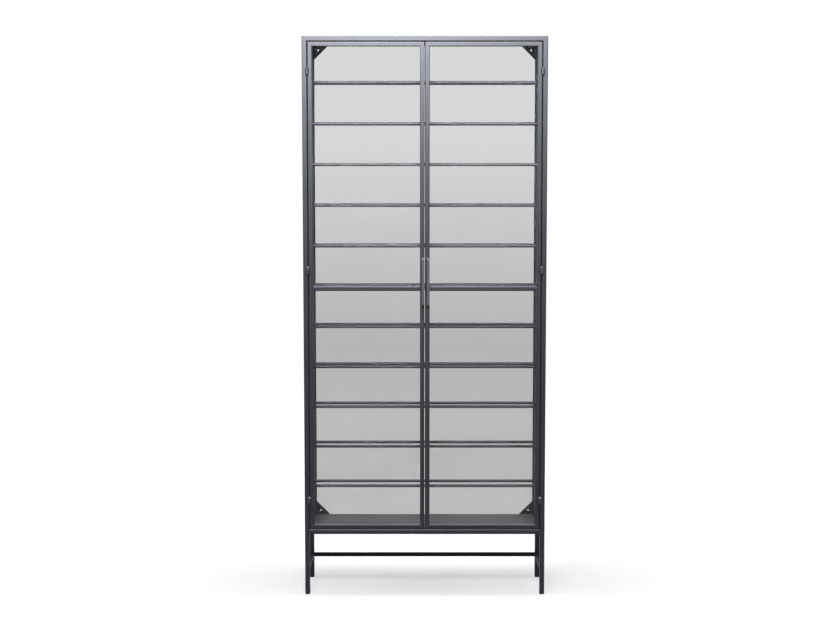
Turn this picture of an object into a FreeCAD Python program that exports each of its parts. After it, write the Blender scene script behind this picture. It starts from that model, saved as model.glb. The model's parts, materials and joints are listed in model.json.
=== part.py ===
import FreeCAD, Part
import math
import os

Vector = FreeCAD.Vector

# Tall steel bottle cabinet with two glazed doors, in millimetres.
# +Z is up, the doors face -Y, and the origin is on the floor in the middle of the outer box.

# Overall frame
cabinet_width = 800.0
cabinet_height = 1850.0
frame_depth = 220.0

# Square tube of the frame
tube_side = 16.0
tube_wall = 1.5
tube_corner = 2.2

# Legs, stretchers and feet
bottom_rail_base = 205.0
stretcher_side = 12.5
stretcher_wall = 1.2
stretcher_corner = 1.6
stretcher_axis = 80.0
foot_side = 14.0
foot_thickness = 2.5
foot_plug_length = 14.0
foot_plug_play = 0.15

# Sheet metal of the walls, the shelf and the top
sheet = 1.5
sheet_bend = 0.75
sheet_play = 0.3
wall_inset = 7.5
flange_edge_inset = 3.5
hem_length = 10.0
shelf_front_lap = 8.0
shelf_flange = 14.0
top_flange = 12.0

# Corner gussets of the rear plane
gusset_leg = 54.0
gusset_thickness = 3.0
gusset_tip = 3.0
gusset_hole = 6.0
gusset_hole_side = 23.5
gusset_hole_end = 15.0
gusset_play = 1.0

# Bottle rods
rod_diameter = 10.0
rod_spacing = 74.0
first_tier_rise = 133.0
tier_pitch = 135.0
top_tier_room = 120.0

# Doors
door_gap = 1.8
door_back_play = 1.0
door_tube = 15.0
door_wall = 1.5
door_corner = 2.2
glass_thickness = 4.0
glass_lap = 7.0
gasket_thickness = 1.0

# Glass clips
clip_width = 18.0
clip_sheet = 1.2
clip_lap = 4.0
clip_foot = 4.5
clip_play = 0.3
clip_end_inset = 70.0
clip_stile_count = 4

# Handles
handle_above_mid_rail = 23.5
handle_length = 158.0
handle_width = 9.0
handle_thickness = 3.5
handle_reach = 20.0
handle_bend = 3.0

# Barrel hinges
barrel_diameter = 10.5
knuckle_length = 9.0
nose_length = 5.0
nose_tip = 4.4
knuckle_gap = 0.3
barrel_gap = 0.5
weld_pad = 2.8
pin_diameter = 5.0
pin_play = 0.05
pin_depth = 10.0
pin_end_play = 0.5
low_hinge_inset = 97.0
high_hinge_inset = 95.0
hinge_above_mid_rail = 60.5

# Door stop
stop_width = 16.0
stop_thickness = 2.0
stop_drop = 14.0
stop_rise = 12.0
magnet_side = 5.0
magnet_gap = 0.3

# Rubber buffer between the doors
buffer_height = 12.0
buffer_lap = 3.3
buffer_thickness = 3.0
buffer_play = 0.3

# Places that follow from the sizes above
frame_section = (tube_side, tube_wall, tube_corner)
stretcher_section = (stretcher_side, stretcher_wall, stretcher_corner)
door_section = (door_tube, door_wall, door_corner)
half_width = cabinet_width / 2
inner_half = half_width - tube_side
door_set_back = tube_side - door_back_play - door_tube
front_y = (handle_reach - door_set_back - frame_depth) / 2
rear_y = front_y + frame_depth
frame_back = front_y + tube_side
rear_frame_front = rear_y - tube_side
tube_middle = tube_side / 2
top_rail_base = cabinet_height - tube_side
bottom_rail_top = bottom_rail_base + tube_side
wall_face = inner_half - wall_inset
gusset_rear = rear_y - tube_corner
gusset_front = gusset_rear - gusset_thickness
panel_rear = gusset_front - gusset_play

rod_middle_y = front_y + frame_depth / 2
rod_rows = (rod_middle_y - rod_spacing / 2, rod_middle_y + rod_spacing / 2)
first_tier = bottom_rail_top + first_tier_rise
tier_count = int((top_rail_base - top_tier_room - first_tier) / tier_pitch) + 1
tier_heights = [first_tier + tier * tier_pitch for tier in range(tier_count)]

door_outer = inner_half - door_gap
door_inner = door_gap / 2
door_base = bottom_rail_top + door_gap
door_top = top_rail_base - door_gap
door_front = front_y + door_set_back
door_back = door_front + door_tube
mid_rail_axis = (door_base + door_top) / 2
opening_low_x = door_inner + door_tube
opening_high_x = door_outer - door_tube
opening_low_z = door_base + door_tube
opening_high_z = door_top - door_tube
glass_front = door_back + gasket_thickness
hinge_x = inner_half - door_gap / 2
hinge_y = min(front_y, door_front) - barrel_gap - barrel_diameter / 2
hinge_heights = (
    door_base + low_hinge_inset,
    mid_rail_axis + hinge_above_mid_rail,
    door_top - high_hinge_inset,
)

facing_right = FreeCAD.Rotation(Vector(0, 1, 0), Vector(0, 0, 1), Vector(1, 0, 0))
facing_front = FreeCAD.Rotation(Vector(1, 0, 0), Vector(0, 0, 1), Vector(0, -1, 0))

pieces = {}


def mirrored(solid):
    """The same piece on the other side of the middle plane."""
    return solid.mirror(Vector(0, 0, 0), Vector(1, 0, 0))


def add_pair(name, right_solids):
    """Store right-hand solids and their mirror images as right_ and left_ nodes."""
    pieces["right_" + name] = list(right_solids)
    pieces["left_" + name] = [mirrored(solid) for solid in right_solids]


def turned(solid, rotation, origin=Vector(0, 0, 0)):
    """Carry a solid drawn on the XY plane to its own plane in the cabinet."""
    solid.Placement = FreeCAD.Placement(origin, rotation)
    return solid


def block(low, high):
    """Box between two opposite corners."""
    size = high - low
    return Part.makeBox(size.x, size.y, size.z, low)


def rounded_square(side, corner):
    """Face of a square with rounded corners, centred on the origin."""
    half = side / 2
    flat = half - corner
    bulge = flat + corner * math.sqrt(0.5)
    edges = []
    for quarter in range(4):
        turn = FreeCAD.Rotation(Vector(0, 0, 1), 90 * quarter)
        start = turn.multVec(Vector(half, -flat, 0))
        end = turn.multVec(Vector(half, flat, 0))
        middle = turn.multVec(Vector(bulge, bulge, 0))
        finish = turn.multVec(Vector(flat, half, 0))
        edges.append(Part.LineSegment(start, end).toShape())
        edges.append(Part.Arc(end, middle, finish).toShape())
    return Part.Face(Part.Wire(edges))


def run_x(low, high, y, z):
    """Ends of a straight run across the cabinet."""
    return Vector(low, y, z), Vector(high, y, z)


def run_y(x, low, high, z):
    """Ends of a straight run from front to rear."""
    return Vector(x, low, z), Vector(x, high, z)


def run_z(x, y, low, high):
    """Ends of an upright run."""
    return Vector(x, y, low), Vector(x, y, high)


def square_tube(run, section):
    """Hollow square tube with rounded edges along a run; the section is its side, wall and edge radius."""
    start, end = run
    side, wall, corner = section
    bore = side - 2 * wall
    face = rounded_square(side, corner).cut(Part.makePlane(bore, bore, Vector(-bore / 2, -bore / 2, 0)))
    length = end - start
    bar = face.extrude(Vector(0, 0, length.Length)).Solids[0]
    return turned(bar, FreeCAD.Rotation(Vector(0, 0, 1), length), start)


def mitred(bar, corners):
    """Trim a tube to an outline of (x, z) corners seen from the front."""
    outline = [Vector(x, z, 0) for x, z in corners]
    prism = Part.Face(Part.makePolygon(outline + outline[:1])).extrude(Vector(0, 0, 2 * frame_depth))
    return bar.common(turned(prism, facing_front, Vector(0, frame_depth, 0))).Solids[0]


def bent_strip(points, thickness, bend, width):
    """Flat strip with rounded bends, folded along a line on the XY plane; it lies to the line's right."""
    edges = []
    start = points[0]
    for before, corner, after in zip(points, points[1:], points[2:]):
        into = (corner - before).normalize()
        out = (after - corner).normalize()
        turn = into.getAngle(out)
        left_turn = into.cross(out).z > 0
        radius = bend if left_turn else bend + thickness
        tangent = radius * math.tan(turn / 2)
        arc_start = corner - into * tangent
        arc_end = corner + out * tangent
        centre = corner + (out - into).normalize() * (radius / math.cos(turn / 2))
        arc_middle = centre + (corner - centre).normalize() * radius
        if arc_start.distanceToPoint(start) > 1e-6:
            edges.append(Part.LineSegment(start, arc_start).toShape())
        edges.append(Part.Arc(arc_start, arc_middle, arc_end).toShape())
        start = arc_end
    edges.append(Part.LineSegment(start, points[-1]).toShape())
    section = Part.Wire(edges).makeOffset2D(thickness, 0, True, True)
    return section.extrude(Vector(0, 0, width)).Solids[0]


def build_frame():
    """Uprights, rails and stretchers; the front and rear frames are mitred at their top corners."""
    upright_axis = half_width - tube_middle
    upright_outline = (
        (half_width, foot_thickness),
        (half_width, cabinet_height),
        (inner_half, top_rail_base),
        (inner_half, foot_thickness),
    )
    rail_outline = (
        (-half_width, cabinet_height),
        (half_width, cabinet_height),
        (inner_half, top_rail_base),
        (-inner_half, top_rail_base),
    )
    top_axis = cabinet_height - tube_middle
    bottom_axis = bottom_rail_base + tube_middle
    for row, axis_y in (("front", front_y + tube_middle), ("rear", rear_y - tube_middle)):
        post = square_tube(run_z(upright_axis, axis_y, foot_thickness, cabinet_height), frame_section)
        post = mitred(post, upright_outline)
        pieces[row + "_right_upright"] = [post]
        pieces[row + "_left_upright"] = [mirrored(post)]
        rail = square_tube(run_x(-half_width, half_width, axis_y, top_axis), frame_section)
        pieces[row + "_top_rail"] = [mitred(rail, rail_outline)]
        rail = square_tube(run_x(-inner_half, inner_half, axis_y, bottom_axis), frame_section)
        pieces[row + "_bottom_rail"] = [rail]

    for name, height in (("top_rail", top_axis), ("bottom_rail", bottom_axis)):
        run = run_y(upright_axis, frame_back, rear_frame_front, height)
        add_pair(name, [square_tube(run, frame_section)])
    run = run_y(upright_axis, frame_back, rear_frame_front, stretcher_axis)
    add_pair("stretcher", [square_tube(run, stretcher_section)])
    run = run_x(-inner_half, inner_half, rear_y - tube_middle, stretcher_axis)
    pieces["rear_stretcher"] = [square_tube(run, stretcher_section)]


def build_feet():
    """Moulded glides pushed into the open leg ends, with a tread a little inside the tube."""
    plug_side = tube_side - 2 * tube_wall - 2 * foot_plug_play
    glides = []
    for x in (-half_width + tube_middle, half_width - tube_middle):
        for y in (front_y + tube_middle, rear_y - tube_middle):
            tread_corner = Vector(x - foot_side / 2, y - foot_side / 2, 0)
            tread = Part.makeBox(foot_side, foot_side, foot_thickness, tread_corner)
            plug_corner = Vector(x - plug_side / 2, y - plug_side / 2, foot_thickness)
            plug = Part.makeBox(plug_side, plug_side, foot_plug_length, plug_corner)
            glides.append(tread.fuse(plug).Solids[0])
    pieces["foot_glides"] = glides


def build_side_walls():
    """Folded sheet walls with welding flanges on the tubes and an open hem at the rear edge."""
    wall_back = wall_face + sheet
    flange_edge = half_width - flange_edge_inset
    hem_inner = wall_face - 2 * sheet_bend - sheet
    line = [
        Vector(hem_inner, panel_rear - hem_length, 0),
        Vector(hem_inner, panel_rear, 0),
        Vector(wall_back, panel_rear, 0),
        Vector(wall_back, frame_back + sheet, 0),
        Vector(flange_edge, frame_back + sheet, 0),
    ]
    low = bottom_rail_top + sheet
    high = top_rail_base - sheet
    wall = bent_strip(line, sheet, sheet_bend, high - low)
    wall.translate(Vector(0, 0, low))
    flange_rear = rear_frame_front - sheet_play
    for base in (bottom_rail_top, high):
        flange = block(Vector(wall_face, frame_back, base), Vector(flange_edge, flange_rear, base + sheet))
        wall = wall.fuse(flange)
    add_pair("side_wall", [wall.removeSplitter().Solids[0]])


def build_shelf_and_top():
    """Bottom shelf with turned-down ends, and the flush top panel with a rim on three sides."""
    end_front = frame_back + sheet_play
    end_rear = rear_frame_front - sheet_play
    shelf_half = wall_face - sheet_play
    shelf_low = Vector(-shelf_half, frame_back - shelf_front_lap, bottom_rail_top)
    shelf = block(shelf_low, Vector(shelf_half, panel_rear, bottom_rail_top + sheet))
    for side in (-shelf_half, shelf_half - sheet):
        end_low = Vector(side, end_front, bottom_rail_top - shelf_flange)
        shelf = shelf.fuse(block(end_low, Vector(side + sheet, end_rear, bottom_rail_top)))
    pieces["bottom_shelf"] = [shelf.removeSplitter().Solids[0]]

    lid_half = inner_half - sheet_play
    lid_base = cabinet_height - sheet
    lid = block(Vector(-lid_half, end_front, lid_base), Vector(lid_half, end_rear, cabinet_height))
    rim_low = lid_base - top_flange
    rims = (
        (Vector(-lid_half, end_front, rim_low), Vector(-lid_half + sheet, end_rear, lid_base)),
        (Vector(lid_half - sheet, end_front, rim_low), Vector(lid_half, end_rear, lid_base)),
        (Vector(-lid_half, end_rear - sheet, rim_low), Vector(lid_half, end_rear, lid_base)),
    )
    for low, high in rims:
        lid = lid.fuse(block(low, high))
    pieces["top_panel"] = [lid.removeSplitter().Solids[0]]


def build_gussets():
    """Corner plates of the rear plane, each with a wall-fixing hole and blunted tips."""
    for row, corner_z, sense in (("top", top_rail_base, -1), ("bottom", bottom_rail_top, 1)):
        outline = [
            Vector(inner_half, corner_z, 0),
            Vector(inner_half - gusset_leg, corner_z, 0),
            Vector(inner_half - gusset_leg, corner_z + sense * gusset_tip, 0),
            Vector(inner_half - gusset_tip, corner_z + sense * gusset_leg, 0),
            Vector(inner_half, corner_z + sense * gusset_leg, 0),
        ]
        plate = Part.Face(Part.makePolygon(outline + outline[:1])).extrude(Vector(0, 0, gusset_thickness))
        plate = turned(plate, facing_front, Vector(0, gusset_rear, 0))
        hole_z = corner_z + sense * gusset_hole_end
        hole_start = Vector(inner_half - gusset_hole_side, gusset_front - gusset_thickness, hole_z)
        hole = Part.makeCylinder(gusset_hole / 2, 3 * gusset_thickness, hole_start, Vector(0, 1, 0))
        solid = plate.cut(hole).Solids[0]
        pieces[row + "_right_gusset"] = [solid]
        pieces[row + "_left_gusset"] = [mirrored(solid)]


def build_rods():
    """Bottle rods from wall to wall, two to a tier, their ends welded to the sheet."""
    for tier, height in enumerate(tier_heights, start=1):
        rods = []
        for row in rod_rows:
            end = Vector(-wall_face, row, height)
            rods.append(Part.makeCylinder(rod_diameter / 2, 2 * wall_face, end, Vector(1, 0, 0)))
        pieces["tier_rods_%02d" % tier] = rods


def build_door_frames():
    """Mitred door frames with a middle rail set between the stiles."""
    half = door_tube / 2
    axis_y = door_front + half
    stiles = (
        ("door_hinge_stile", door_outer, door_outer - half, opening_high_x),
        ("door_meeting_stile", door_inner, door_inner + half, opening_low_x),
    )
    for name, outer_x, axis_x, inner_x in stiles:
        stile = square_tube(run_z(axis_x, axis_y, door_base, door_top), door_section)
        outline = (
            (outer_x, door_base),
            (outer_x, door_top),
            (inner_x, opening_high_z),
            (inner_x, opening_low_z),
        )
        add_pair(name, [mitred(stile, outline)])
    rails = (
        ("door_top_rail", door_top, door_top - half, opening_high_z),
        ("door_bottom_rail", door_base, door_base + half, opening_low_z),
    )
    for name, outer_z, axis_z, inner_z in rails:
        rail = square_tube(run_x(door_inner, door_outer, axis_y, axis_z), door_section)
        outline = (
            (door_inner, outer_z),
            (door_outer, outer_z),
            (opening_high_x, inner_z),
            (opening_low_x, inner_z),
        )
        add_pair(name, [mitred(rail, outline)])
    middle = square_tube(run_x(opening_low_x, opening_high_x, axis_y, mid_rail_axis), door_section)
    add_pair("door_mid_rail", [middle])


def build_glazing():
    """One pane behind each door frame, its bedding gasket and the clips that hold it."""
    pane_low_x = opening_low_x - glass_lap
    pane_high_x = opening_high_x + glass_lap
    pane_low_z = opening_low_z - glass_lap
    pane_high_z = opening_high_z + glass_lap
    glass_back = glass_front + glass_thickness
    pane = block(Vector(pane_low_x, glass_front, pane_low_z), Vector(pane_high_x, glass_back, pane_high_z))
    add_pair("door_glass", [pane])

    bed = block(Vector(pane_low_x, door_back, pane_low_z), Vector(pane_high_x, glass_front, pane_high_z))
    mid_low = mid_rail_axis - door_tube / 2
    mid_high = mid_rail_axis + door_tube / 2
    for base, top in ((opening_low_z, mid_low), (mid_high, opening_high_z)):
        window = block(Vector(opening_low_x, door_back, base), Vector(opening_high_x, glass_front, top))
        bed = bed.cut(window)
    add_pair("door_gasket", [bed.Solids[0]])

    step = gasket_thickness + glass_thickness + clip_play
    riser = clip_play + clip_sheet
    outline = [
        Vector(-clip_lap, step, 0),
        Vector(clip_play, step, 0),
        Vector(clip_play, 0, 0),
        Vector(riser + clip_foot, 0, 0),
        Vector(riser + clip_foot, clip_sheet, 0),
        Vector(riser, clip_sheet, 0),
        Vector(riser, step + clip_sheet, 0),
        Vector(-clip_lap, step + clip_sheet, 0),
    ]
    section = Part.Face(Part.makePolygon(outline + outline[:1]))
    clip = section.extrude(Vector(0, 0, clip_width))
    middle = Vector(0, 0, clip_width / 2)
    clips = []
    to_stile = FreeCAD.Rotation(Vector(-1, 0, 0), Vector(0, 1, 0), Vector(0, 0, -1))
    stile_pitch = (pane_high_z - pane_low_z - 2 * clip_end_inset) / (clip_stile_count - 1)
    for place in range(clip_stile_count):
        edge = Vector(pane_low_x, door_back, pane_low_z + clip_end_inset + place * stile_pitch)
        clips.append(turned(clip.copy(), to_stile, edge - to_stile.multVec(middle)))
    for height, sense in ((pane_low_z, -1), (pane_high_z, 1)):
        to_rail = FreeCAD.Rotation(Vector(0, 0, sense), Vector(0, 1, 0), Vector(-sense, 0, 0))
        for x in (pane_low_x + clip_end_inset, pane_high_x - clip_end_inset):
            edge = Vector(x, door_back, height)
            clips.append(turned(clip.copy(), to_rail, edge - to_rail.multVec(middle)))
    add_pair("glass_clips", clips)


def build_handles():
    """Flat strip bent into a bridge; on both doors it stands flush with the right edge of the meeting stile."""
    middle = mid_rail_axis + handle_above_mid_rail
    low = middle - handle_length / 2
    high = middle + handle_length / 2
    line = [
        Vector(door_front, low, 0),
        Vector(door_front - handle_reach, low, 0),
        Vector(door_front - handle_reach, high, 0),
        Vector(door_front, high, 0),
    ]
    strip = bent_strip(line, handle_thickness, handle_bend, handle_width)
    for name, edge in (("right_door_handle", opening_low_x), ("left_door_handle", -door_inner)):
        pieces[name] = [turned(strip.copy(), facing_right, Vector(edge - handle_width, 0, 0))]


def knuckle(sense, bore_radius, pad_low_x, pad_face):
    """Half of a barrel hinge with a tapered nose, from the mating face up or down, with its weld pad."""
    radius = barrel_diameter / 2
    profile = [
        Vector(0, 0, 0),
        Vector(radius, 0, 0),
        Vector(radius, 0, knuckle_length),
        Vector(nose_tip / 2, 0, knuckle_length + nose_length),
        Vector(0, 0, knuckle_length + nose_length),
    ]
    half_section = Part.Face(Part.makePolygon(profile + profile[:1]))
    barrel = half_section.revolve(Vector(0, 0, 0), Vector(0, 0, 1), 360).Solids[0]
    pad = block(Vector(pad_low_x, 0, 0), Vector(pad_low_x + weld_pad, pad_face - hinge_y, knuckle_length))
    body = barrel.fuse(pad).cut(Part.makeCylinder(bore_radius, pin_depth))
    if sense < 0:
        body = body.mirror(Vector(0, 0, 0), Vector(0, 0, 1))
    return body.Solids[0]


def build_hinges():
    """Weld-on barrel hinges: the pin is fixed in the frame half and the door half turns on it."""
    radius = barrel_diameter / 2
    frame_halves = []
    door_halves = []
    pins = []
    for height in hinge_heights:
        lower = knuckle(-1, pin_diameter / 2, radius - weld_pad, front_y)
        lower.translate(Vector(hinge_x, hinge_y, height - knuckle_gap / 2))
        upper = knuckle(1, pin_diameter / 2 + pin_play, -radius, door_front)
        upper.translate(Vector(hinge_x, hinge_y, height + knuckle_gap / 2))
        pin_low = height - knuckle_gap / 2 - pin_depth
        pin_high = height + knuckle_gap / 2 + pin_depth - pin_end_play
        pin = Part.makeCylinder(pin_diameter / 2, pin_high - pin_low, Vector(hinge_x, hinge_y, pin_low))
        frame_halves += [lower, mirrored(lower)]
        door_halves.append(upper)
        pins += [pin, mirrored(pin)]
    pieces["frame_hinge_knuckles"] = frame_halves
    add_pair("door_hinge_knuckles", door_halves)
    pieces["hinge_pins"] = pins


def build_door_stop():
    """Plate on the back of the top rail that both meeting stiles close against, with two magnets."""
    half = stop_width / 2
    low = top_rail_base - stop_drop
    plate_high = Vector(half, frame_back + stop_thickness, top_rail_base + stop_rise)
    pieces["door_stop"] = [block(Vector(-half, frame_back, low), plate_high)]
    middle = Vector((door_inner + half) / 2, 0, (low + door_top) / 2)
    reach = Vector(magnet_side / 2, 0, magnet_side / 2)
    magnet_front = Vector(0, door_back + magnet_gap, 0)
    magnet = block(middle - reach + magnet_front, middle + reach + Vector(0, frame_back, 0))
    pieces["stop_magnets"] = [magnet, mirrored(magnet)]


def build_buffer():
    """Small pad on the right door's meeting stile that covers the door gap beside the middle rails."""
    low = Vector(buffer_play - door_inner, door_front - buffer_thickness, mid_rail_axis - buffer_height / 2)
    high = Vector(door_inner + buffer_lap, door_front, mid_rail_axis + buffer_height / 2)
    pieces["right_door_buffer"] = [block(low, high)]


build_frame()
build_feet()
build_side_walls()
build_shelf_and_top()
build_gussets()
build_rods()
build_door_frames()
build_glazing()
build_handles()
build_hinges()
build_door_stop()
build_buffer()

os.makedirs("parts", exist_ok=True)
for name, solids in pieces.items():
    for solid in solids:
        if not solid.isValid() or solid.Volume <= 0:
            raise ValueError("bad solid in " + name)
    shape = solids[0] if len(solids) == 1 else Part.Compound(solids)
    shape.exportStep("parts/%s.step" % name)
print(len(pieces), "nodes,", sum(len(solids) for solids in pieces.values()), "solids")
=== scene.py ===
import json
import math

import bmesh
import bpy
from mathutils import Matrix, Vector


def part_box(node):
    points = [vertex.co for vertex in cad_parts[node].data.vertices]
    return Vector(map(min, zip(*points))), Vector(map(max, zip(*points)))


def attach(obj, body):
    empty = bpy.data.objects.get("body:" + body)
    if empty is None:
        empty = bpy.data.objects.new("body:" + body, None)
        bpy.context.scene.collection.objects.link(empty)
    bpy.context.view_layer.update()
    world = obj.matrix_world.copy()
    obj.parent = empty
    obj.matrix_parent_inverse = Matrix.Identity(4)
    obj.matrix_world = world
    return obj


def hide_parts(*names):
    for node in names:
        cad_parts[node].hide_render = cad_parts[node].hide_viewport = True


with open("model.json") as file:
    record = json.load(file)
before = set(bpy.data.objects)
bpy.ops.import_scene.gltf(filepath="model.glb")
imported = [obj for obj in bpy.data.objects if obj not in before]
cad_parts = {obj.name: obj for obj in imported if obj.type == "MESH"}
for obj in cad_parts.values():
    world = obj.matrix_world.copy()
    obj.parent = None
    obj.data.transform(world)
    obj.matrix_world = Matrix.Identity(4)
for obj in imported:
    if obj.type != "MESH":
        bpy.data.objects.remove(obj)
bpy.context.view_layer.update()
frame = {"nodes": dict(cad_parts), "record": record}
nodes = frame["nodes"]
scene = bpy.context.scene


def millimetres(*values):
    # small lengths are kept in millimetres and used in metres
    scaled = [value / 1000 for value in values]
    return scaled[0] if len(scaled) == 1 else scaled


# helpers for node trees

def feed(tree, node, values):
    # a socket is linked, a colour gets its alpha, a number is set as it is
    for label, value in values.items():
        socket = node.inputs[label]
        if isinstance(value, bpy.types.NodeSocket):
            tree.links.new(value, socket)
        elif isinstance(value, tuple):
            socket.default_value = (*value, 1.0)
        else:
            socket.default_value = value


def addMath(tree, operation, first, second, clamp=False):
    node = tree.nodes.new("ShaderNodeMath")
    node.operation = operation
    node.use_clamp = clamp
    feed(tree, node, {0: first, 1: second})
    return node.outputs[0]


def addNoise(tree, vector, scale, detail=2.0, rough=0.5):
    node = tree.nodes.new("ShaderNodeTexNoise")
    feed(tree, node, {"Vector": vector, "Scale": scale, "Detail": detail, "Roughness": rough})
    return node.outputs["Fac"]


def addRange(tree, value, fromLow, fromHigh, toLow=0.0, toHigh=1.0):
    node = tree.nodes.new("ShaderNodeMapRange")
    feed(tree, node, {
        "Value": value, "From Min": fromLow, "From Max": fromHigh, "To Min": toLow, "To Max": toHigh,
    })
    return node.outputs["Result"]


def addMix(tree, factor, first, second):
    node = tree.nodes.new("ShaderNodeMix")
    node.data_type = "RGBA"
    colourA, colourB = [number for number, socket in enumerate(node.inputs) if socket.type == "RGBA"]
    feed(tree, node, {"Factor": factor, colourA: first, colourB: second})
    return next(socket for socket in node.outputs if socket.type == "RGBA")


def objectPoint(tree):
    return tree.nodes.new("ShaderNodeTexCoord").outputs["Object"]


def addPatches(tree, noise, spread, toLow=0.0, toHigh=1.0):
    # noise on the piece's own coordinates, spread between two levels
    return addRange(tree, addNoise(tree, objectPoint(tree), **noise), *spread, toLow, toHigh)


# shader groups shared by several finishes

def newGroup(name, inputs, outputs):
    tree = bpy.data.node_groups.new(name, "ShaderNodeTree")
    for way, labels in (("INPUT", inputs), ("OUTPUT", outputs)):
        for label in labels:
            tree.interface.new_socket(label, in_out=way, socket_type="NodeSocketFloat")
    return tree, tree.nodes.new("NodeGroupInput"), tree.nodes.new("NodeGroupOutput")


grainSpec = {
    "peel": {"detail": 3.0, "rough": 0.55},
    "cloud": {"detail": 4.0, "rough": 0.6}, "cloudSpread": (0.3, 0.7), "cloudShare": 0.7,
    "speck": {"scale": 2600.0, "detail": 1.0}, "speckSpread": (0.35, 0.65), "speckShare": 0.3,
}


def buildCoatGrain():
    # powder coat: orange peel as height, slow clouds and fine specks as tone, the clouds as gloss too
    tree, source, result = newGroup(
        "coatGrain",
        ("Peel Scale", "Cloud Scale", "Gloss Low", "Gloss High"),
        ("Tone", "Roughness", "Height"),
    )
    point = objectPoint(tree)
    peel = addNoise(tree, point, source.outputs["Peel Scale"], **grainSpec["peel"])
    cloud = addNoise(tree, point, source.outputs["Cloud Scale"], **grainSpec["cloud"])
    speck = addNoise(tree, point, **grainSpec["speck"])
    fine = addRange(tree, speck, *grainSpec["speckSpread"], toHigh=grainSpec["speckShare"])
    slow = addRange(tree, cloud, *grainSpec["cloudSpread"], toHigh=grainSpec["cloudShare"])
    tone = addMath(tree, "ADD", fine, slow, clamp=True)
    glossEnds = (source.outputs["Gloss Low"], source.outputs["Gloss High"])
    gloss = addRange(tree, cloud, *grainSpec["cloudSpread"], *glossEnds)
    feed(tree, result, {"Tone": tone, "Roughness": gloss, "Height": peel})
    return tree


rubAndSheenSpec = {
    "reach": 1.2, "samples": 4, "edge": (0.995, 0.9),  # edge: cosines of a flat and of a rounded place
    "patch": {"scale": 60.0, "detail": 4.0, "rough": 0.6}, "patchSpread": (0.4, 0.65),
}


def buildEdgeRubAndSheen():
    # mask of the edges, broken up by noise, where the coat is thin and handled; the paler edge colour it
    # carries is also a painted highlight on the rounded edges
    tree, source, result = newGroup("edgeRubAndSheen", ("Amount",), ("Mask",))
    bevel = tree.nodes.new("ShaderNodeBevel")
    bevel.samples = rubAndSheenSpec["samples"]
    feed(tree, bevel, {"Radius": millimetres(rubAndSheenSpec["reach"])})
    surface = tree.nodes.new("ShaderNodeNewGeometry")
    across = tree.nodes.new("ShaderNodeVectorMath")
    across.operation = "DOT_PRODUCT"
    feed(tree, across, {0: bevel.outputs["Normal"], 1: surface.outputs["Normal"]})
    edge = addRange(tree, across.outputs["Value"], *rubAndSheenSpec["edge"])
    patch = addPatches(tree, rubAndSheenSpec["patch"], rubAndSheenSpec["patchSpread"])
    rubbedAndSheen = addMath(tree, "MULTIPLY", edge, patch)
    mask = addMath(tree, "MULTIPLY", rubbedAndSheen, source.outputs["Amount"], clamp=True)
    feed(tree, result, {"Mask": mask})
    return tree


dustAndTopLightSpec = {
    "colour": (0.22, 0.215, 0.205), "upward": (0.6, 0.98), "least": 0.5,
    "patch": {"scale": 22.0, "detail": 5.0, "rough": 0.65}, "patchSpread": (0.3, 0.75),
}


def buildSettledDustAndTopLight():
    # mask of the faces that look up, thin and patchy: partly settled dust, partly painted light from above on
    # the faces that look up
    tree, source, result = newGroup("settledDustAndTopLight", ("Amount",), ("Mask",))
    surface = tree.nodes.new("ShaderNodeNewGeometry")
    split = tree.nodes.new("ShaderNodeSeparateXYZ")
    feed(tree, split, {0: surface.outputs["Normal"]})
    upward = addRange(tree, split.outputs["Z"], *dustAndTopLightSpec["upward"])
    patch = addPatches(tree, dustAndTopLightSpec["patch"], dustAndTopLightSpec["patchSpread"], dustAndTopLightSpec["least"])
    settled = addMath(tree, "MULTIPLY", upward, patch)
    mask = addMath(tree, "MULTIPLY", settled, source.outputs["Amount"], clamp=True)
    feed(tree, result, {"Mask": mask})
    return tree


coatGrain = buildCoatGrain()
edgeRubAndSheen = buildEdgeRubAndSheen()
settledDustAndTopLight = buildSettledDustAndTopLight()
print("shader groups built")


# finishes

def newFinish(name):
    material = bpy.data.materials.new(name)
    material.use_nodes = True
    tree = material.node_tree
    return material, tree, tree.nodes["Principled BSDF"]


def placeGroup(tree, group, values):
    node = tree.nodes.new("ShaderNodeGroup")
    node.node_tree = group
    feed(tree, node, values)
    return node.outputs


def addBump(tree, shader, height, depth, strength):
    bump = tree.nodes.new("ShaderNodeBump")
    feed(tree, bump, {"Strength": strength, "Distance": millimetres(depth), "Height": height})
    feed(tree, shader, {"Normal": bump.outputs["Normal"]})


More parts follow.
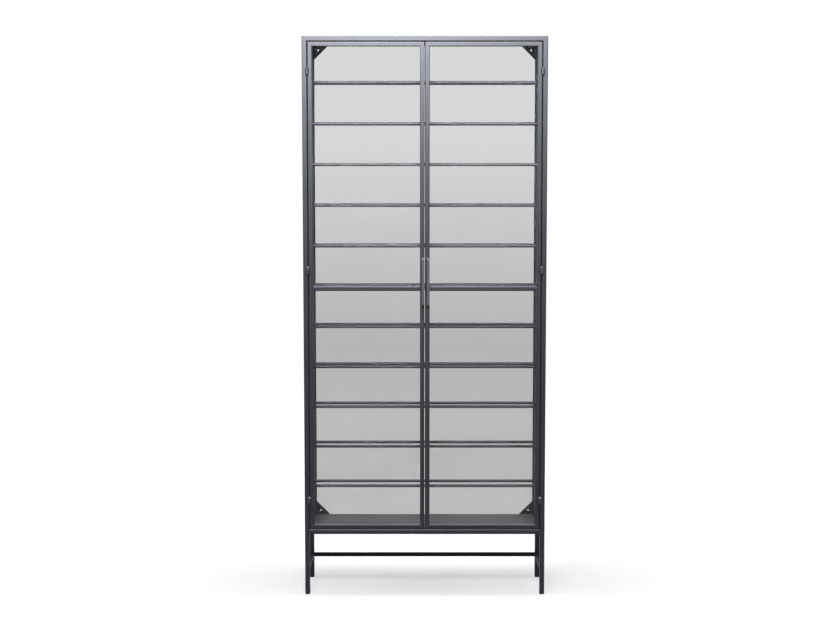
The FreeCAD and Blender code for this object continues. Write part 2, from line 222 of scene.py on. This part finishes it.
coatSpec = {"sheenTint": (0.84, 0.875, 1.0), "bumpDepth": 0.2}
paintSpecs = {
    "framePaint": {
        "deep": (0.0094, 0.0094, 0.0118), "pale": (0.0148, 0.0148, 0.0182),
        "gloss": (0.395, 0.445), "specular": 0.22, "peel": 900.0, "cloud": 7.0, "bump": 0.05,
        # paler edges: partly wear, partly a painted highlight that lights the top edges of the rails
        "rubAndSheen": (0.13, 0.137, 0.153), "rubAndSheenAmount": 0.8, "dustAndTopLight": 0.1,
    },
    "stretcherPaint": {
        "deep": (0.0122, 0.0122, 0.015), "pale": (0.0186, 0.0186, 0.0226),
        "gloss": (0.42, 0.47), "specular": 0.03, "peel": 900.0, "cloud": 7.0, "bump": 0.05,
        "rubAndSheen": (0.06, 0.063, 0.07), "rubAndSheenAmount": 0.4,
    },
    # the shelf's pale base and strong dust carry a painted reflection: the bright backdrop, mirrored at a
    # grazing angle on the shelf, put into its colour
    "sheetPaintPaintedSheen": {
        "deep": (0.0325, 0.0325, 0.0392), "pale": (0.0435, 0.0435, 0.0512),
        "gloss": (0.44, 0.5), "specular": 0.34, "peel": 820.0, "cloud": 5.0, "bump": 0.03,
        "rubAndSheen": (0.07, 0.073, 0.08), "rubAndSheenAmount": 0.35, "dustAndTopLight": 0.16,
    },
    "wallPaint": {
        "deep": (0.026, 0.027, 0.031), "pale": (0.035, 0.0362, 0.041),
        "gloss": (0.52, 0.6), "specular": 0.04, "peel": 820.0, "cloud": 5.0, "bump": 0.02,
        "rubAndSheen": (0.06, 0.063, 0.068), "rubAndSheenAmount": 0.35, "dustAndTopLight": 0.05,
    },
    "rodPaint": {
        "deep": (0.02, 0.0201, 0.0235), "pale": (0.031, 0.0312, 0.036),
        "gloss": (0.34, 0.37), "specular": 0.24, "peel": 1000.0, "cloud": 11.0, "bump": 0.02,
        "dustAndTopLight": 0.03,
    },
    # the pulls carry the frame's paint; their paler base is painted light, so that they show brighter than
    # the stiles
    "pullPaintPaintedLight": {
        "deep": (0.061, 0.0627, 0.068), "pale": (0.082, 0.084, 0.091),
        "gloss": (0.52, 0.58), "specular": 0.16, "peel": 1100.0, "cloud": 24.0, "bump": 0.04,
        "rubAndSheen": (0.11, 0.113, 0.12), "rubAndSheenAmount": 0.3,
    },
    "hardwarePaint": {
        "deep": (0.0092, 0.0096, 0.0112), "pale": (0.015, 0.0156, 0.018),
        "gloss": (0.36, 0.41), "specular": 0.3, "peel": 1100.0, "cloud": 24.0, "bump": 0.03,
        "rubAndSheen": (0.085, 0.088, 0.094), "rubAndSheenAmount": 0.7, "dustAndTopLight": 0.06,
    },
    "weldPaint": {
        "deep": (0.0085, 0.0088, 0.0105), "pale": (0.0155, 0.016, 0.0185),
        "gloss": (0.3, 0.42), "specular": 0.32, "peel": 1300.0, "cloud": 60.0, "bump": 0.05,
        "dustAndTopLight": 0.05,
    },
}


def paintFinish(name):
    spec = paintSpecs[name]
    material, tree, shader = newFinish(name)
    glossLow, glossHigh = spec["gloss"]
    grain = placeGroup(tree, coatGrain, {
        "Peel Scale": spec["peel"], "Cloud Scale": spec["cloud"],
        "Gloss Low": glossLow, "Gloss High": glossHigh,
    })
    colour = addMix(tree, grain["Tone"], spec["deep"], spec["pale"])
    # paler edges: partly wear, partly a painted highlight on the rounded edges
    if "rubAndSheen" in spec:
        rubbedAndSheen = placeGroup(tree, edgeRubAndSheen, {"Amount": spec["rubAndSheenAmount"]})
        colour = addMix(tree, rubbedAndSheen["Mask"], colour, spec["rubAndSheen"])
    # paler upward faces: partly dust, partly painted light from above
    if "dustAndTopLight" in spec:
        dustyAndLit = placeGroup(tree, settledDustAndTopLight, {"Amount": spec["dustAndTopLight"]})
        colour = addMix(tree, dustyAndLit["Mask"], colour, dustAndTopLightSpec["colour"])
    feed(tree, shader, {
        "Base Color": colour, "Roughness": grain["Roughness"],
        "Specular IOR Level": spec["specular"], "Specular Tint": coatSpec["sheenTint"],
    })
    addBump(tree, shader, grain["Height"], coatSpec["bumpDepth"], spec["bump"])
    return material


glassSpec = {
    # the tint changes with height: painted light, the glass darker towards the bottom and lighter towards the
    # top
    "shadedFootTint": (0.446, 0.446, 0.446), "litHeadTint": (0.678, 0.678, 0.678),
    "paintedGradientHeights": (0.84, 1.52),  # metres above the floor, between which the tint changes
    "smear": {"scale": 6.0, "detail": 4.0, "rough": 0.6}, "smearSpread": (0.3, 0.7), "smearShare": 0.02,
    "haze": {"scale": 14.0, "detail": 5.0, "rough": 0.65}, "hazeSpread": (0.35, 0.8), "hazeShare": 0.03,
    "refraction": 1.46, "specular": 0.2, "sheenTint": (0.3, 0.3, 0.3), "faces": 2,
}


def glassFinish():
    # grey float glass: light passes to the inside as tinted shadow, the eye sees the real pane
    material, tree, shader = newFinish("smokedGlass")
    split = tree.nodes.new("ShaderNodeSeparateXYZ")
    feed(tree, split, {0: objectPoint(tree)})
    # painted light gradient: darker towards the bottom, lighter towards the top
    height = addRange(tree, split.outputs["Z"], *glassSpec["paintedGradientHeights"])
    smearShare = glassSpec["smearShare"]
    smear = addPatches(tree, glassSpec["smear"], glassSpec["smearSpread"], -smearShare, smearShare)
    share = addMath(tree, "ADD", height, smear, clamp=True)
    tint = addMix(tree, share, glassSpec["shadedFootTint"], glassSpec["litHeadTint"])
    haze = addPatches(tree, glassSpec["haze"], glassSpec["hazeSpread"], toHigh=glassSpec["hazeShare"])
    feed(tree, shader, {
        "Base Color": tint, "Roughness": haze, "Transmission Weight": 1.0, "IOR": glassSpec["refraction"],
        "Specular IOR Level": glassSpec["specular"], "Specular Tint": glassSpec["sheenTint"],
    })
    perFace = tree.nodes.new("ShaderNodeGamma")  # a shadow ray meets the tint at each face
    feed(tree, perFace, {"Color": tint, "Gamma": 1 / glassSpec["faces"]})
    shadow = tree.nodes.new("ShaderNodeBsdfTransparent")
    feed(tree, shadow, {"Color": perFace.outputs["Color"]})
    path = tree.nodes.new("ShaderNodeLightPath")
    blend = tree.nodes.new("ShaderNodeMixShader")
    feed(tree, blend, {0: path.outputs["Is Shadow Ray"], 1: shader.outputs[0], 2: shadow.outputs[0]})
    feed(tree, tree.nodes["Material Output"], {"Surface": blend.outputs[0]})
    return material


steelSpec = {
    "deep": (0.42, 0.42, 0.43), "pale": (0.6, 0.6, 0.61), "gloss": (0.22, 0.34), "glossSpread": (0.3, 0.7),
    "marks": {"scale": 120.0, "detail": 3.0}, "stretch": (1.0, 1.0, 40.0), "bumpDepth": 0.1, "bump": 0.1,
}


def steelFinish():
    # bright steel with fine marks round the Z axis, as turning leaves them
    material, tree, shader = newFinish("brightSteel")
    turned = tree.nodes.new("ShaderNodeMapping")
    turned.inputs["Scale"].default_value = steelSpec["stretch"]
    feed(tree, turned, {"Vector": objectPoint(tree)})
    marks = addNoise(tree, turned.outputs[0], **steelSpec["marks"])
    feed(tree, shader, {
        "Base Color": addMix(tree, marks, steelSpec["deep"], steelSpec["pale"]),
        "Roughness": addRange(tree, marks, *steelSpec["glossSpread"], *steelSpec["gloss"]),
        "Metallic": 1.0,
    })
    addBump(tree, shader, marks, steelSpec["bumpDepth"], steelSpec["bump"])
    return material


pebbleSpec = {"detail": 3.0, "rough": 0.6, "glossSpread": (0.3, 0.7), "bumpDepth": 0.2, "bump": 0.15}
mouldedSpecs = {
    "sealRubber": {
        "deep": (0.006, 0.006, 0.0065), "pale": (0.014, 0.014, 0.0145),
        "gloss": (0.6, 0.8), "scale": 420.0, "specular": 0.12,
    },
    "glidePlastic": {
        "deep": (0.012, 0.012, 0.013), "pale": (0.028, 0.028, 0.029),
        "gloss": (0.4, 0.6), "scale": 650.0, "specular": 0.4,
    },
}


def mouldedFinish(name):
    spec = mouldedSpecs[name]
    material, tree, shader = newFinish(name)
    pebble = addNoise(tree, objectPoint(tree), spec["scale"], pebbleSpec["detail"], pebbleSpec["rough"])
    feed(tree, shader, {
        "Base Color": addMix(tree, pebble, spec["deep"], spec["pale"]),
        "Roughness": addRange(tree, pebble, *pebbleSpec["glossSpread"], *spec["gloss"]),
        "Specular IOR Level": spec["specular"],
    })
    addBump(tree, shader, pebble, pebbleSpec["bumpDepth"], pebbleSpec["bump"])
    return material


finishes = {name: paintFinish(name) for name in paintSpecs}
finishes["smokedGlass"] = glassFinish()
finishes["brightSteel"] = steelFinish()
finishes.update({name: mouldedFinish(name) for name in mouldedSpecs})
slotFinish = {
    "frame_paint": "framePaint", "sheet_paint": "sheetPaintPaintedSheen", "rod_paint": "rodPaint",
    "hardware_paint": "hardwarePaint", "bare_steel": "brightSteel", "door_glass": "smokedGlass",
    "gasket": "sealRubber", "glide": "glidePlastic",
}
endingFinish = {"_side_wall": "wallPaint", "top_panel": "wallPaint", "_stretcher": "stretcherPaint"}
for part in frame["record"]["subparts"]:
    finish = slotFinish[part["material_slot"]]
    for ending, other in endingFinish.items():
        if part["node"].endswith(ending):
            finish = other
    target = nodes[part["node"]].data
    target.materials.clear()
    target.materials.append(finishes[finish])
print("finishes set:", ", ".join(sorted(finishes)))


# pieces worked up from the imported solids

def placeObject(name, data):
    holder = bpy.data.objects.new(name, data)
    scene.collection.objects.link(holder)
    return holder


def pieceFrom(work, name, finish):
    # a bmesh is used up here and becomes a piece
    mesh = bpy.data.meshes.new(name)
    work.to_mesh(mesh)
    work.free()
    mesh.materials.append(finishes[finish])
    return placeObject(name, mesh)


def bakeModifiers(piece):
    # the evaluated mesh becomes the piece's own, and the modifiers go
    graph = bpy.context.evaluated_depsgraph_get()
    mesh = bpy.data.meshes.new_from_object(piece.evaluated_get(graph))
    piece.modifiers.clear()
    piece.data = mesh
    mesh.name = piece.name


mergeSpec = {"distance": 1e-6, "flatAngle": 0.3}


def mergedCopy(node):
    # a node's loose triangles joined, with its flat faces whole again
    work = bmesh.new()
    work.from_mesh(nodes[node].data)
    bmesh.ops.remove_doubles(work, verts=work.verts, dist=mergeSpec["distance"])
    flat = math.radians(mergeSpec["flatAngle"])
    bmesh.ops.dissolve_limit(work, angle_limit=flat, verts=work.verts, edges=work.edges)
    return work


def islandBoxes(node):
    # the lowest and highest corner of each solid in a node
    work = mergedCopy(node)
    waiting = set(work.verts)
    boxes = []
    while waiting:
        island = [waiting.pop()]
        for vert in island:
            near = [edge.other_vert(vert) for edge in vert.link_edges]
            island += [other for other in near if other in waiting]
            waiting.difference_update(near)
        low = Vector([min(vert.co[axis] for vert in island) for axis in range(3)])
        high = Vector([max(vert.co[axis] for vert in island) for axis in range(3)])
        boxes.append((low, high))
    work.free()
    return sorted(boxes, key=lambda pair: tuple(pair[0]))


easeSpec = {"profile": 0.5, "smoothAngle": 60}
doorEases = {
    "Handle": {
        "node": "_door_handle", "slot": "frame_paint", "finish": "pullPaintPaintedLight",
        "width": 0.6, "steps": 3, "angle": 50,
    },
    "Knuckles": {
        "node": "_door_hinge_knuckles", "slot": "hardware_paint", "finish": "hardwarePaint",
        "width": 0.45, "steps": 2, "angle": 24,
    },
    "Clips": {
        "node": "_glass_clips", "slot": "hardware_paint", "finish": "hardwarePaint",
        "width": 0.35, "steps": 2, "angle": 50,
    },
    "Pane": {
        "node": "_door_glass", "slot": "door_glass", "finish": "smokedGlass",
        "width": 0.5, "steps": 1, "angle": 50, "flat": True,
    },
}
gussetEase = {"slot": "frame_paint", "finish": "wallPaint", "width": 0.5, "steps": 2, "angle": 30}
cabinetEases = {
    "frameKnuckles": {
        "node": "frame_hinge_knuckles", "slot": "hardware_paint", "finish": "hardwarePaint",
        "width": 0.45, "steps": 2, "angle": 24,
    },
    "footGlides": {
        "node": "foot_glides", "slot": "glide", "finish": "glidePlastic",
        "width": 0.6, "steps": 2, "angle": 50,
    },
    "stopPlate": {
        "node": "door_stop", "slot": "hardware_paint", "finish": "hardwarePaint",
        "width": 0.4, "steps": 2, "angle": 50,
    },
}
bufferEase = {"slot": "gasket", "finish": "sealRubber", "width": 0.9, "steps": 3, "angle": 50}


def easeEdges(name, body, node, spec):
    # a copy of the solid with its sharp edges broken, as filing and coating leave them
    work = mergedCopy(node)
    limit = math.radians(spec["angle"])
    sharp = [edge for edge in work.edges if edge.is_manifold and edge.calc_face_angle() > limit]
    bmesh.ops.bevel(work, geom=sharp, offset=millimetres(spec["width"]), segments=spec["steps"],
                    profile=easeSpec["profile"], affect="EDGES", clamp_overlap=True)
    smooth = not spec.get("flat")
    for face in work.faces:
        face.smooth = smooth
    piece = pieceFrom(work, name, spec["finish"])
    if smooth:
        piece.data.set_sharp_from_angle(angle=math.radians(easeSpec["smoothAngle"]))
        evener = piece.modifiers.new("evenFlats", "WEIGHTED_NORMAL")
        evener.keep_sharp = True
        bakeModifiers(piece)
    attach(piece, body)
    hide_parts(node)


def buildEased():
    jobs = [(name, "cabinet", spec["node"], spec) for name, spec in cabinetEases.items()]
    for side in ("left", "right"):
        jobs += [(side + name, side + "_door", side + spec["node"], spec) for name, spec in doorEases.items()]
        for row in ("top", "bottom"):
            name = row + side.capitalize() + "Gusset"
            jobs.append((name, "cabinet", row + "_" + side + "_gusset", gussetEase))
    jobs.append(("doorBuffer", "right_door", "right_door_buffer", bufferEase))
    for job in jobs:
        easeEdges(*job)
    print("edges eased on", len(jobs), "pieces")


buildEased()


# narrow plain strips

def boxPiece(name, low, high, finish):
    work = bmesh.new()
    shape = Matrix.Translation((low + high) / 2) @ Matrix.Diagonal((*(high - low), 1.0))
    bmesh.ops.create_cube(work, size=1.0, matrix=shape)
    return pieceFrom(work, name, finish)


closingSpec = {"span": 6.6, "depth": 2.4, "setBack": 2.2}


def buildClosingStrips():
    # they close the joint between each wall and its rear upright
    span, depth, setBack = millimetres(closingSpec["span"], closingSpec["depth"], closingSpec["setBack"])
    for side in ("left", "right"):
        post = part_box("rear_" + side + "_upright")
        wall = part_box(side + "_side_wall")
        start = post[1].x if side == "left" else post[0].x - span
        front = post[0].y + setBack
        low = Vector((start, front, wall[0].z))
        high = Vector((start + span, front + depth, wall[1].z))
        piece = boxPiece(side + "ClosingStrip", low, high, "wallPaint")
        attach(piece, "cabinet")
    print("wall joints closed")


buildClosingStrips()


lipSpec = {"thickness": 0.75, "depth": 5.0, "setBack": 0.8, "endInset": 2.5}


def buildMeetingLip():
    # on the edge of the right meeting stile, it narrows the line of light between the doors
    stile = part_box("right_door_meeting_stile")
    inset = millimetres(lipSpec["endInset"])
    front = stile[0].y + millimetres(lipSpec["setBack"])
    low = Vector((stile[0].x - millimetres(lipSpec["thickness"]), front, stile[0].z + inset))
    high = Vector((stile[0].x, front + millimetres(lipSpec["depth"]), stile[1].z - inset))
    piece = boxPiece("meetingLip", low, high, "framePaint")
    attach(piece, "right_door")
    print("door gap lip built")


buildMeetingLip()


# weld beads along paths, and rivets on the clip feet, by geometry nodes

def newTree(name, inputs):
    tree = bpy.data.node_groups.new(name, "GeometryNodeTree")
    tree.interface.new_socket("Geometry", in_out="INPUT", socket_type="NodeSocketGeometry")
    keys = {}
    for label, kind in inputs:
        keys[label] = tree.interface.new_socket(label, in_out="INPUT", socket_type=kind).identifier
    tree.interface.new_socket("Geometry", in_out="OUTPUT", socket_type="NodeSocketGeometry")
    return tree, tree.nodes.new("NodeGroupInput"), tree.nodes.new("NodeGroupOutput"), keys


def addBall(tree, segments, rings):
    # a ball of unit radius, sized where it is placed
    ball = tree.nodes.new("GeometryNodeMeshUVSphere")
    feed(tree, ball, {"Segments": segments, "Rings": rings, "Radius": 1.0})
    return ball.outputs["Mesh"]


def addScale(tree, x, y, z):
    scale = tree.nodes.new("ShaderNodeCombineXYZ")
    feed(tree, scale, {"X": x, "Y": y, "Z": z})
    return scale.outputs[0]


def valueOutput(node):
    return next(socket for socket in node.outputs if socket.enabled and socket.type == "VALUE")


def closeTree(tree, source, result, instances):
    realize = tree.nodes.new("GeometryNodeRealizeInstances")
    smooth = tree.nodes.new("GeometryNodeSetShadeSmooth")
    paint = tree.nodes.new("GeometryNodeSetMaterial")
    feed(tree, realize, {"Geometry": instances})
    feed(tree, smooth, {"Geometry": realize.outputs["Geometry"]})
    feed(tree, paint, {"Geometry": smooth.outputs["Geometry"], "Material": source.outputs["Finish"]})
    feed(tree, result, {"Geometry": paint.outputs["Geometry"]})


def growPiece(name, mesh, body, grower, values):
    # a piece that a tree grows on a mesh of paths or places
    tree, keys = grower
    piece = placeObject(name, mesh)
    modifier = piece.modifiers.new(tree.name, "NODES")
    modifier.node_group = tree
    for label, value in values.items():
        modifier[keys[label]] = value
    bakeModifiers(piece)
    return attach(piece, body)


weldSpec = {
    "spacing": 1.5, "flatness": 0.75, "unevenness": 0.14, "seed": 11, "dropSegments": 8, "dropRings": 5,
    "endInset": 0.3, "rodBead": 1.25, "rodTurns": 14, "rodLift": 0.25,  # lift is a share of the bead
    "gussetBead": 1.3, "stitches": ((0.14, 0.40), (0.62, 0.90)),  # shares of a gusset's leg
    "gussetInset": 0.35, "gussetFront": 0.1, "gussetRear": 0.2, "stretcherBead": 1.15,
    "padBead": 0.95, "padStandOff": 0.25, "padSpan": (0.8, 8.6),  # from the blunt end of a knuckle
    "footBead": 0.9, "footInset": 1.2, "footStandOff": 0.15, "footSetBack": 0.3,
}


def buildWeldTree():
    # overlapping flattened drops along every path, each a little different
    tree, source, result, keys = newTree("weldBead", [
        ("Drop Spacing", "NodeSocketFloat"), ("Drop Flatness", "NodeSocketFloat"),
        ("Unevenness", "NodeSocketFloat"), ("Seed", "NodeSocketInt"), ("Finish", "NodeSocketMaterial"),
    ])
    curves = tree.nodes.new("GeometryNodeMeshToCurve")
    feed(tree, curves, {"Mesh": source.outputs["Geometry"]})
    points = tree.nodes.new("GeometryNodeCurveToPoints")
    points.mode = "LENGTH"
    feed(tree, points, {"Curve": curves.outputs["Curve"], "Length": source.outputs["Drop Spacing"]})
    size = tree.nodes.new("GeometryNodeInputNamedAttribute")
    size.data_type = "FLOAT"
    size.inputs["Name"].default_value = "beadSize"
    uneven = tree.nodes.new("FunctionNodeRandomValue")
    uneven.data_type = "FLOAT"
    ends = {socket.name: number for number, socket in enumerate(uneven.inputs) if socket.type == "VALUE"}
    low = addMath(tree, "SUBTRACT", 1.0, source.outputs["Unevenness"])
    high = addMath(tree, "ADD", 1.0, source.outputs["Unevenness"])
    feed(tree, uneven, {ends["Min"]: low, ends["Max"]: high, "Seed": source.outputs["Seed"]})
    across = addMath(tree, "MULTIPLY", valueOutput(size), valueOutput(uneven))
    along = addMath(tree, "MULTIPLY", across, source.outputs["Drop Flatness"])
    place = tree.nodes.new("GeometryNodeInstanceOnPoints")
    feed(tree, place, {
        "Points": points.outputs["Points"], "Rotation": points.outputs["Rotation"],
        "Instance": addBall(tree, weldSpec["dropSegments"], weldSpec["dropRings"]),
        "Scale": addScale(tree, across, across, along),
    })
    closeTree(tree, source, result, place.outputs["Instances"])
    return tree, keys


class WeldPaths:
    # the points, edges and bead sizes of all the paths on one body
    def __init__(self):
        self.points, self.edges, self.sizes = [], [], []

    def add(self, points, size, closed=False):
        first = len(self.points)
        self.points += [tuple(point) for point in points]
        self.sizes += [millimetres(size)] * len(points)
        steps = list(range(first, len(self.points)))
        self.edges += list(zip(steps, steps[1:]))
        if closed:
            self.edges.append((steps[-1], steps[0]))

    def mesh(self, name):
        mesh = bpy.data.meshes.new(name)
        mesh.from_pydata(self.points, self.edges, [])
        mesh.attributes.new("beadSize", "FLOAT", "POINT").data.foreach_set("value", self.sizes)
        return mesh


def ringRound(centre, radius, turns):
    # points on a circle round a line along X
    angles = [2 * math.pi * turn / turns for turn in range(turns)]
    return [centre + Vector((0, math.cos(angle), math.sin(angle))) * radius for angle in angles]


def squareRound(low, high, axis, level):
    # the four corners of a tube end where it meets its neighbour
    others = [number for number in range(3) if number != axis]
    points = []
    for first, second in ((0, 0), (1, 0), (1, 1), (0, 1)):
        point = Vector((level, level, level))
        point[others[0]] = (low, high)[first][others[0]]
        point[others[1]] = (low, high)[second][others[1]]
        points.append(point)
    return points


def weldRods(paths):
    # a bead round both ends of every rod
    size = weldSpec["rodBead"]
    inset = millimetres(weldSpec["endInset"])
    lift = millimetres(weldSpec["rodLift"] * size)
    for node in sorted(name for name in nodes if name.startswith("tier_rods_")):
        for low, high in islandBoxes(node):
            middle = (low + high) / 2
            radius = (high.z - low.z) / 2 + lift
            for end in (low.x + inset, high.x - inset):
                centre = Vector((end, middle.y, middle.z))
                paths.add(ringRound(centre, radius, weldSpec["rodTurns"]), size, closed=True)


def weldGussets(paths):
    # two stitches along each leg of a gusset, on its front and its rear face
    size = weldSpec["gussetBead"]
    inset = millimetres(weldSpec["gussetInset"])
    for row, sense in (("top", -1), ("bottom", 1)):
        for side, way in (("left", 1), ("right", -1)):
            low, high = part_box(row + "_" + side + "_gusset")
            leg = high.x - low.x
            cornerX = low.x if side == "left" else high.x
            cornerZ = high.z if row == "top" else low.z
            postX = cornerX + way * inset
            railZ = cornerZ + sense * inset
            front = low.y - millimetres(weldSpec["gussetFront"])
            rear = high.y + millimetres(weldSpec["gussetRear"])
            for y in (front, rear):
                for stitch in weldSpec["stitches"]:
                    reaches = [leg * share for share in stitch]
                    paths.add([Vector((cornerX + way * reach, y, railZ)) for reach in reaches], size)
                    paths.add([Vector((postX, y, cornerZ + sense * reach)) for reach in reaches], size)


def weldStretchers(paths):
    # a bead round both ends of every stretcher
    size = weldSpec["stretcherBead"]
    inset = millimetres(weldSpec["endInset"])
    for side in ("left", "right"):
        low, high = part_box(side + "_stretcher")
        for level in (low.y + inset, high.y - inset):
            paths.add(squareRound(low, high, 1, level), size, closed=True)
    low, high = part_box("rear_stretcher")
    for level in (low.x + inset, high.x - inset):
        paths.add(squareRound(low, high, 0, level), size, closed=True)


def weldPads(paths, node, body):
    # one short bead up the open side of each hinge pad
    standOff = millimetres(weldSpec["padStandOff"])
    near, far = millimetres(*weldSpec["padSpan"])
    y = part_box("front_left_upright")[0].y - standOff
    for low, high in islandBoxes(node):
        side = 1 if low.x > 0 else -1
        outward = side if body == "cabinet" else -side
        x = (high.x if outward > 0 else low.x) + outward * standOff
        span = (low.z + near, low.z + far)
        if body == "cabinet":  # the nose of a frame knuckle points down
            span = (high.z - far, high.z - near)
        paths.add([Vector((x, y, z)) for z in span], weldSpec["padBead"])


def weldHandle(paths, node):
    # a bead across the outer end of each foot of a pull
    inset, standOff = millimetres(weldSpec["footInset"], weldSpec["footStandOff"])
    low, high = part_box(node)
    y = high.y - millimetres(weldSpec["footSetBack"])
    for z in (low.z - standOff, high.z + standOff):
        paths.add([Vector((x, y, z)) for x in (low.x + inset, high.x - inset)], weldSpec["footBead"])


rivetSpec = {"radius": 1.7, "height": 0.85, "footHalf": 2.25, "clipSheet": 1.2, "segments": 16, "rings": 10}


def buildRivetTree():
    # domed heads at the given places, flattened along Y
    tree, source, result, keys = newTree("domeRivets", [
        ("Head Radius", "NodeSocketFloat"), ("Head Height", "NodeSocketFloat"),
        ("Finish", "NodeSocketMaterial"),
    ])
    radius = source.outputs["Head Radius"]
    place = tree.nodes.new("GeometryNodeInstanceOnPoints")
    feed(tree, place, {
        "Points": source.outputs["Geometry"],
        "Instance": addBall(tree, rivetSpec["segments"], rivetSpec["rings"]),
        "Scale": addScale(tree, radius, source.outputs["Head Height"], radius),
    })
    closeTree(tree, source, result, place.outputs["Instances"])
    return tree, keys


def clipRivets(side, grower):
    # one head on the foot of each glass clip
    name = side + "ClipRivets"
    footHalf, clipSheet = millimetres(rivetSpec["footHalf"], rivetSpec["clipSheet"])
    paneMiddle = sum(corner.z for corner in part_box(side + "_door_glass")) / 2
    places = []
    for low, high in islandBoxes(side + "_glass_clips"):
        middle = (low + high) / 2
        y = low.y + clipSheet
        if high.z - low.z > high.x - low.x:  # clip on the meeting stile
            x = low.x + footHalf if side == "right" else high.x - footHalf
            places.append((x, y, middle.z))
        else:
            z = high.z - footHalf if middle.z > paneMiddle else low.z + footHalf
            places.append((middle.x, y, z))
    mesh = bpy.data.meshes.new(name)
    mesh.from_pydata(places, [], [])
    values = {
        "Head Radius": millimetres(rivetSpec["radius"]), "Head Height": millimetres(rivetSpec["height"]),
        "Finish": finishes["brightSteel"],
    }
    growPiece(name, mesh, side + "_door", grower, values)


def buildWeldsAndRivets():
    welder = buildWeldTree()
    riveter = buildRivetTree()
    bodies = {"cabinetWelds": "cabinet", "leftDoorWelds": "left_door", "rightDoorWelds": "right_door"}
    paths = {name: WeldPaths() for name in bodies}
    weldRods(paths["cabinetWelds"])
    weldGussets(paths["cabinetWelds"])
    weldStretchers(paths["cabinetWelds"])
    weldPads(paths["cabinetWelds"], "frame_hinge_knuckles", "cabinet")
    for side in ("left", "right"):
        doorPaths = paths[side + "DoorWelds"]
        weldPads(doorPaths, side + "_door_hinge_knuckles", side + "_door")
        weldHandle(doorPaths, side + "_door_handle")
        clipRivets(side, riveter)
    values = {
        "Drop Spacing": millimetres(weldSpec["spacing"]), "Drop Flatness": weldSpec["flatness"],
        "Unevenness": weldSpec["unevenness"], "Seed": weldSpec["seed"], "Finish": finishes["weldPaint"],
    }
    for name, body in bodies.items():
        piece = growPiece(name, paths[name].mesh(name), body, welder, values)
        print(name, len(piece.data.polygons), "faces")


buildWeldsAndRivets()


# studio: pale floor, white surround, soft lamps and the camera, placed in metres

def seenRays(tree):
    # 1 for rays that reach the eye straight, by a reflection or through glass
    path = tree.nodes.new("ShaderNodeLightPath")
    seen = addMath(tree, "MAXIMUM", path.outputs["Is Camera Ray"], path.outputs["Is Glossy Ray"])
    return addMath(tree, "MAXIMUM", seen, path.outputs["Is Transmission Ray"])


floorSpec = {
    "half": 30.0, "colour": (0.5, 0.5, 0.5), "roughness": 0.9,
    "glowColour": (1.0, 1.0, 1.0), "glowReach": (0.6, 3.2), "glow": (0.44, 0.85),  # near and far
}


def buildFloor():
    half = floorSpec["half"]
    mesh = bpy.data.meshes.new("studioFloor")
    corners = [(-half, -half, 0), (half, -half, 0), (half, half, 0), (-half, half, 0)]
    mesh.from_pydata(corners, [], [(0, 1, 2, 3)])
    floor = placeObject("studioFloor", mesh)
    material, tree, shader = newFinish("studioFloor")
    distance = tree.nodes.new("ShaderNodeVectorMath")
    distance.operation = "LENGTH"
    feed(tree, distance, {0: objectPoint(tree)})
    glow = addRange(tree, distance.outputs["Value"], *floorSpec["glowReach"], *floorSpec["glow"])
    feed(tree, shader, {
        "Base Color": floorSpec["colour"], "Roughness": floorSpec["roughness"], "Specular IOR Level": 0.0,
        "Emission Color": floorSpec["glowColour"],
        "Emission Strength": addMath(tree, "MULTIPLY", seenRays(tree), glow),
    })
    mesh.materials.append(material)


worldSpec = {"colour": (1.0, 1.0, 1.0), "fill": 0.3, "surround": 1.0}


def buildWorld():
    world = bpy.data.worlds.new("whiteStudio")
    scene.world = world
    world.use_nodes = True
    tree = world.node_tree
    level = addRange(tree, seenRays(tree), 0.0, 1.0, worldSpec["fill"], worldSpec["surround"])
    feed(tree, tree.nodes["Background"], {"Color": worldSpec["colour"], "Strength": level})


lampSpecs = {
    "keySoftbox": {"place": (-0.3, -2.35, 2.54), "aim": (0.0, -0.1, 1.5), "size": (1.3, 0.9), "power": 60.0},
    "sheenCard": {
        "place": (-0.17, -2.35, 2.72), "aim": (0.0, -0.1, 1.55), "size": (1.4, 0.85), "power": 585.0,
        "glossOnly": True,
    },
    "topSoftbox": {"place": (0.0, -0.35, 3.4), "aim": (0.0, 0.0, 0.9), "size": (1.8, 1.2), "power": 30.0},
    "leftSoftbox": {"place": (-2.3, 0.0, 1.6), "aim": (-0.4, 0.0, 1.0), "size": (0.3, 1.6), "power": 26.0},
    "rightSoftbox": {"place": (2.3, 0.0, 1.6), "aim": (0.4, 0.0, 1.0), "size": (0.3, 1.6), "power": 26.0},
    "crownCard": {
        "place": (0.0, -1.3, 3.2), "aim": (0.0, 0.0, 1.0), "size": (2.2, 1.0), "power": 190.0,
        "glossOnly": True,
    },
}


def buildLamps():
    for name, spec in lampSpecs.items():
        lamp = bpy.data.lights.new(name, "AREA")
        lamp.shape = "RECTANGLE"
        lamp.size, lamp.size_y = spec["size"]
        lamp.energy = spec["power"]
        holder = placeObject(name, lamp)
        place = Vector(spec["place"])
        turn = (Vector(spec["aim"]) - place).to_track_quat("-Z", "Y")
        holder.matrix_world = Matrix.Translation(place) @ turn.to_matrix().to_4x4()
        holder.visible_camera = False
        holder.visible_transmission = False
        holder.visible_diffuse = not spec.get("glossOnly")


cameraSpec = {
    "place": (-0.0158, -5.0, 1.46), "downTilt": 5.09, "lens": 64.1, "sensor": 36.0,
    "shiftPixels": -25, "photoPixels": 840,  # picture shift, and the picture's longer side
}


def buildCamera():
    camera = bpy.data.cameras.new("frontCamera")
    camera.sensor_width = cameraSpec["sensor"]
    camera.lens = cameraSpec["lens"]
    camera.shift_y = cameraSpec["shiftPixels"] / cameraSpec["photoPixels"]
    holder = placeObject("frontCamera", camera)
    holder.location = cameraSpec["place"]
    holder.rotation_euler = (math.radians(90 - cameraSpec["downTilt"]), 0.0, 0.0)
    scene.camera = holder


buildFloor()
buildWorld()
buildLamps()
buildCamera()
scene.view_settings.view_transform = "Standard"
print("studio set")
